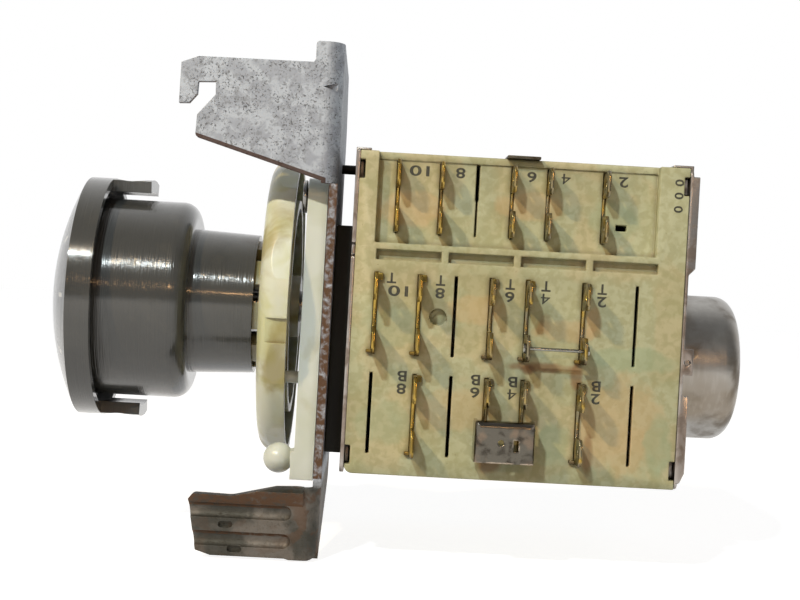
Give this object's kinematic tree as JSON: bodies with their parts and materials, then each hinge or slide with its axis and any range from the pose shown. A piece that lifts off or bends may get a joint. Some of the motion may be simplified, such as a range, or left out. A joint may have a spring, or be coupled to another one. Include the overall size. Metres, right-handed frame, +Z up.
{
  "type": "washing machine timer",
  "caption": "Electromechanical programme timer on a folded steel bracket, with a domed knob, nylon cam disc, spade terminals and a geared motor.",
  "frame": {"origin": "where the programme shaft's axis meets the knob side of the mounting bracket", "axes": "+X along the shaft from the knob towards the motor, -Y out of the terminal side, +Z up"},
  "size_m": [0.1752, 0.0842, 0.1223],
  "materials": {
    "zinc_steel": "zinc plated sheet, dull and spotted",
    "black_plastic": "black moulded",
    "fastener_steel": "plain turned steel",
    "plate_steel": "plated sheet, stained",
    "body_plastic": "pale mint moulding, stained",
    "spring_steel": "dark spring strip",
    "copper_steel": "coppery plated strip",
    "tinned_wire": "bare tinned wire",
    "nickel_steel": "drawn and plated",
    "copper_winding": "wound and taped",
    "magnet_steel": "ferrite magnet",
    "white_nylon": "white moulded nylon",
    "ivory_nylon": "translucent yellowed nylon",
    "knob_plastic": "polished dark grey",
    "terminal_brass": "stamped brass, tinned in part",
    "spring_brass": "thin spring brass"
  },
  "bodies": {
    "frame": {"mounting_bracket": "zinc_steel", "spacer_block": "black_plastic", "spacer_stud": "black_plastic", "bracket_screws": "fastener_steel", "front_plate": "plate_steel", "rear_plate": "plate_steel", "terminal_housing": "body_plastic", "back_housing": "body_plastic", "housing_clip": "spring_steel", "bridge_clip": "copper_steel", "jumper_wire": "tinned_wire", "motor_can": "nickel_steel", "motor_end_plate": "plate_steel", "motor_coil": "copper_winding", "gear_posts": "fastener_steel", "front_bush": "white_nylon", "rear_bush": "white_nylon", "lever_pin": "fastener_steel", "terminal_10": "terminal_brass", "terminal_10t": "terminal_brass", "terminal_8": "terminal_brass", "terminal_8t": "terminal_brass", "terminal_8b": "terminal_brass", "terminal_6": "terminal_brass", "terminal_6t": "terminal_brass", "terminal_6b": "terminal_brass", "terminal_4": "terminal_brass", "terminal_4t": "terminal_brass", "terminal_4b": "terminal_brass", "terminal_2": "terminal_brass", "terminal_2t": "terminal_brass", "terminal_2b": "terminal_brass"},
    "program": {"program_shaft": "fastener_steel", "cam_drum": "white_nylon", "index_disc": "ivory_nylon", "knob_body": "knob_plastic", "knob_cap": "knob_plastic"},
    "rotor": {"motor_rotor": "magnet_steel"},
    "idler": {"idler_gear": "white_nylon"},
    "drive": {"drive_wheel": "white_nylon"},
    "drive_pawl": {"drive_pawl": "white_nylon"},
    "stop_pawl": {"stop_pawl": "white_nylon"},
    "lever": {"ball_lever": "white_nylon"},
    "spring_10": {"contact_spring_10": "spring_brass"},
    "spring_8": {"contact_spring_8": "spring_brass"},
    "spring_6": {"contact_spring_6": "spring_brass"},
    "spring_4": {"contact_spring_4": "spring_brass"},
    "spring_2": {"contact_spring_2": "spring_brass"}
  },
  "joints": [
    {"name": "program_turn", "type": "hinge", "parent": "frame", "child": "program", "pos_m": [0, 0, 0], "axis": [1, 0, 0], "continuous": true},
    {"name": "rotor_spin", "type": "hinge", "parent": "frame", "child": "rotor", "pos_m": [0.095, 0, -0.0101], "axis": [1, 0, 0], "continuous": true},
    {"name": "idler_spin", "type": "hinge", "parent": "frame", "child": "idler", "pos_m": [0.082, 0.01359, -0.01644], "axis": [1, 0, 0], "continuous": true},
    {"name": "drive_spin", "type": "hinge", "parent": "frame", "child": "drive", "pos_m": [0.079, 0.01993, -0.00284], "axis": [1, 0, 0], "continuous": true},
    {"name": "drive_pawl_swing", "type": "hinge", "parent": "frame", "child": "drive_pawl", "pos_m": [0.0686, 0.02203, 0.01306], "axis": [1, 0, 0], "range_deg": [-8, 0], "stiffness_Nm_per_rad": 0.002},
    {"name": "stop_pawl_swing", "type": "hinge", "parent": "frame", "child": "stop_pawl", "pos_m": [0.0686, -0.02203, 0.01306], "axis": [1, 0, 0], "range_deg": [0, 8], "stiffness_Nm_per_rad": 0.002},
    {"name": "lever_swing", "type": "hinge", "parent": "frame", "child": "lever", "pos_m": [-0.0027, -0.0265, 0.027], "axis": [1, 0, 0], "range_deg": [-3, 2]},
    {"name": "spring_10_flex", "type": "hinge", "parent": "frame", "child": "spring_10", "pos_m": [0.0183, -0.026, 0.022], "axis": [1, 0, 0], "range_deg": [-1.5, 1.5], "stiffness_Nm_per_rad": 0.03},
    {"name": "spring_8_flex", "type": "hinge", "parent": "frame", "child": "spring_8", "pos_m": [0.0286, -0.026, 0.022], "axis": [1, 0, 0], "range_deg": [-1.5, 1.5], "stiffness_Nm_per_rad": 0.03},
    {"name": "spring_6_flex", "type": "hinge", "parent": "frame", "child": "spring_6", "pos_m": [0.0456, -0.026, 0.022], "axis": [1, 0, 0], "range_deg": [-1.5, 1.5], "stiffness_Nm_per_rad": 0.03},
    {"name": "spring_4_flex", "type": "hinge", "parent": "frame", "child": "spring_4", "pos_m": [0.0542, -0.026, 0.022], "axis": [1, 0, 0], "range_deg": [-1.5, 1.5], "stiffness_Nm_per_rad": 0.03},
    {"name": "spring_2_flex", "type": "hinge", "parent": "frame", "child": "spring_2", "pos_m": [0.0676, -0.026, 0.022], "axis": [1, 0, 0], "range_deg": [-1.5, 1.5], "stiffness_Nm_per_rad": 0.03}
  ],
  "couplings": [
    {"joint": "idler_spin", "follows": "rotor_spin", "ratio": -0.25},
    {"joint": "drive_spin", "follows": "rotor_spin", "ratio": 0.0625}
  ]
}
